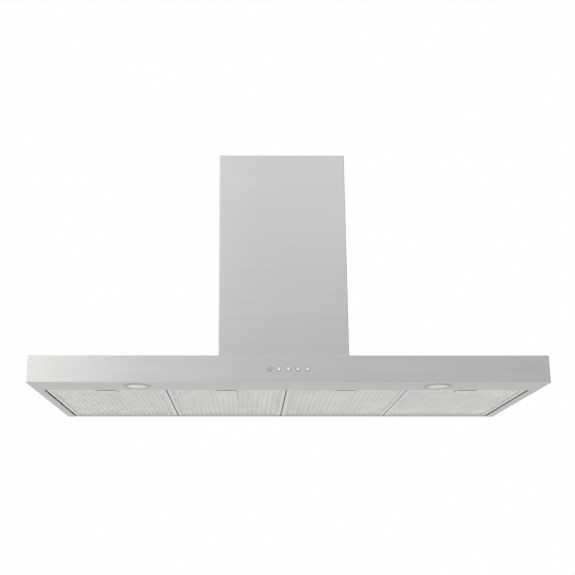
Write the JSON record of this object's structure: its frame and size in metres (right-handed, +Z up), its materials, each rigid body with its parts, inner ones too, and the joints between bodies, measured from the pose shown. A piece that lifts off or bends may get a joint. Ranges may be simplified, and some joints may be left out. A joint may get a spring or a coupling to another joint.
{
  "type": "range hood",
  "caption": "Wall range hood with a flat box canopy, a rear chimney with a telescopic inner cover, tilting grease filters, lamps, push buttons and a blower.",
  "frame": {"origin": "on the wall plane, in the middle of the canopy's flat rear face", "axes": "+X to the right seen from the front, +Y into the wall, +Z up"},
  "size_m": [1.2, 0.5012, 0.6833],
  "materials": {
    "brushed_steel": "fine horizontal brushing, satin",
    "lamp_trim": "satin turned ring",
    "galvanised_steel": "zinc-coated sheet with faint spangle",
    "pressed_aluminium": "smooth pressed",
    "filter_aluminium": "satin rolled",
    "expanded_mesh": "layered expanded mesh",
    "latch_steel": "polished",
    "opal_lens": "opal diffuser",
    "heat_sink": "black anodised",
    "black_plastic": "fine moulded grain",
    "dark_button": "satin dark cap",
    "button_trim": "satin chrome",
    "bright_button": "turned and polished",
    "circuit_board": "solder-masked board",
    "grey_plastic": "moulded",
    "motor_paint": "black enamel",
    "turned_steel": "ground",
    "screw_steel": "zinc plated"
  },
  "bodies": {
    "hood": {"back_panel": "galvanised_steel", "blower_box": "galvanised_steel", "button_guide": "button_trim", "cable_gland": "grey_plastic", "canopy_shell": "brushed_steel", "capacitor": "grey_plastic", "chimney_lower": "brushed_steel", "control_board": "circuit_board", "duct_collar": "black_plastic", "flap_pin": "turned_steel", "hook_screw_left": "screw_steel", "hook_screw_right": "screw_steel", "inlet_ring_left": "pressed_aluminium", "inlet_ring_right": "pressed_aluminium", "junction_box": "black_plastic", "junction_box_cover": "black_plastic", "lamp_bezel_left": "lamp_trim", "lamp_bezel_right": "lamp_trim", "lamp_driver": "black_plastic", "lamp_housing_left": "heat_sink", "lamp_housing_right": "heat_sink", "lamp_lens_left": "opal_lens", "lamp_lens_right": "opal_lens", "motor": "motor_paint", "motor_bracket": "galvanised_steel", "scroll_housing": "galvanised_steel", "wall_hook_left": "galvanised_steel", "wall_hook_right": "galvanised_steel"},
    "filter_1": {"filter_frame_1": "filter_aluminium", "filter_mesh_1": "expanded_mesh"},
    "latch_1": {"filter_latch_1": "latch_steel"},
    "filter_2": {"filter_frame_2": "filter_aluminium", "filter_mesh_2": "expanded_mesh"},
    "latch_2": {"filter_latch_2": "latch_steel"},
    "filter_3": {"filter_frame_3": "filter_aluminium", "filter_mesh_3": "expanded_mesh"},
    "latch_3": {"filter_latch_3": "latch_steel"},
    "filter_4": {"filter_frame_4": "filter_aluminium", "filter_mesh_4": "expanded_mesh"},
    "latch_4": {"filter_latch_4": "latch_steel"},
    "push_button_1": {"button_1": "dark_button"},
    "push_button_2": {"button_2": "bright_button"},
    "push_button_3": {"button_3": "bright_button"},
    "push_button_4": {"button_4": "bright_button"},
    "push_button_5": {"button_5": "bright_button"},
    "upper_chimney": {"chimney_upper": "brushed_steel", "chimney_bracket": "galvanised_steel", "bracket_screw_left": "screw_steel", "bracket_screw_right": "screw_steel"},
    "fan_wheel": {"impeller": "grey_plastic", "motor_shaft": "turned_steel"},
    "front_flap": {"flap_front": "grey_plastic"},
    "rear_flap": {"flap_rear": "grey_plastic"}
  },
  "joints": [
    {"name": "chimney_slide", "type": "slide", "parent": "hood", "child": "upper_chimney", "axis": [0, 0, 1], "range_m": [0, 0.36]},
    {"name": "filter_tilt_1", "type": "hinge", "parent": "hood", "child": "filter_1", "pos_m": [-0.432, -0.017, -0.031], "axis": [1, 0, 0], "range_deg": [0, 75]},
    {"name": "filter_tilt_2", "type": "hinge", "parent": "hood", "child": "filter_2", "pos_m": [-0.144, -0.017, -0.031], "axis": [1, 0, 0], "range_deg": [0, 75]},
    {"name": "filter_tilt_3", "type": "hinge", "parent": "hood", "child": "filter_3", "pos_m": [0.144, -0.017, -0.031], "axis": [1, 0, 0], "range_deg": [0, 75]},
    {"name": "filter_tilt_4", "type": "hinge", "parent": "hood", "child": "filter_4", "pos_m": [0.432, -0.017, -0.031], "axis": [1, 0, 0], "range_deg": [0, 75]},
    {"name": "latch_slide_1", "type": "slide", "parent": "filter_1", "child": "latch_1", "axis": [0, 1, 0], "range_m": [0, 0.006], "stiffness_N_per_m": 400, "springref_m": -0.003},
    {"name": "latch_slide_2", "type": "slide", "parent": "filter_2", "child": "latch_2", "axis": [0, 1, 0], "range_m": [0, 0.006], "stiffness_N_per_m": 400, "springref_m": -0.003},
    {"name": "latch_slide_3", "type": "slide", "parent": "filter_3", "child": "latch_3", "axis": [0, 1, 0], "range_m": [0, 0.006], "stiffness_N_per_m": 400, "springref_m": -0.003},
    {"name": "latch_slide_4", "type": "slide", "parent": "filter_4", "child": "latch_4", "axis": [0, 1, 0], "range_m": [0, 0.006], "stiffness_N_per_m": 400, "springref_m": -0.003},
    {"name": "button_press_1", "type": "slide", "parent": "hood", "child": "push_button_1", "axis": [0, 1, 0], "range_m": [0, 0.0015], "stiffness_N_per_m": 600, "springref_m": -0.002},
    {"name": "button_press_2", "type": "slide", "parent": "hood", "child": "push_button_2", "axis": [0, 1, 0], "range_m": [0, 0.0015], "stiffness_N_per_m": 600, "springref_m": -0.002},
    {"name": "button_press_3", "type": "slide", "parent": "hood", "child": "push_button_3", "axis": [0, 1, 0], "range_m": [0, 0.0015], "stiffness_N_per_m": 600, "springref_m": -0.002},
    {"name": "button_press_4", "type": "slide", "parent": "hood", "child": "push_button_4", "axis": [0, 1, 0], "range_m": [0, 0.0015], "stiffness_N_per_m": 600, "springref_m": -0.002},
    {"name": "button_press_5", "type": "slide", "parent": "hood", "child": "push_button_5", "axis": [0, 1, 0], "range_m": [0, 0.0015], "stiffness_N_per_m": 600, "springref_m": -0.002},
    {"name": "fan_spin", "type": "hinge", "parent": "hood", "child": "fan_wheel", "pos_m": [0, -0.124, 0.14], "axis": [1, 0, 0], "continuous": true},
    {"name": "front_flap_swing", "type": "hinge", "parent": "hood", "child": "front_flap", "pos_m": [0, -0.087, 0.3016], "axis": [-1, 0, 0], "range_deg": [0, 78]},
    {"name": "rear_flap_swing", "type": "hinge", "parent": "hood", "child": "rear_flap", "pos_m": [0, -0.087, 0.3016], "axis": [1, 0, 0], "range_deg": [0, 78]}
  ]
}
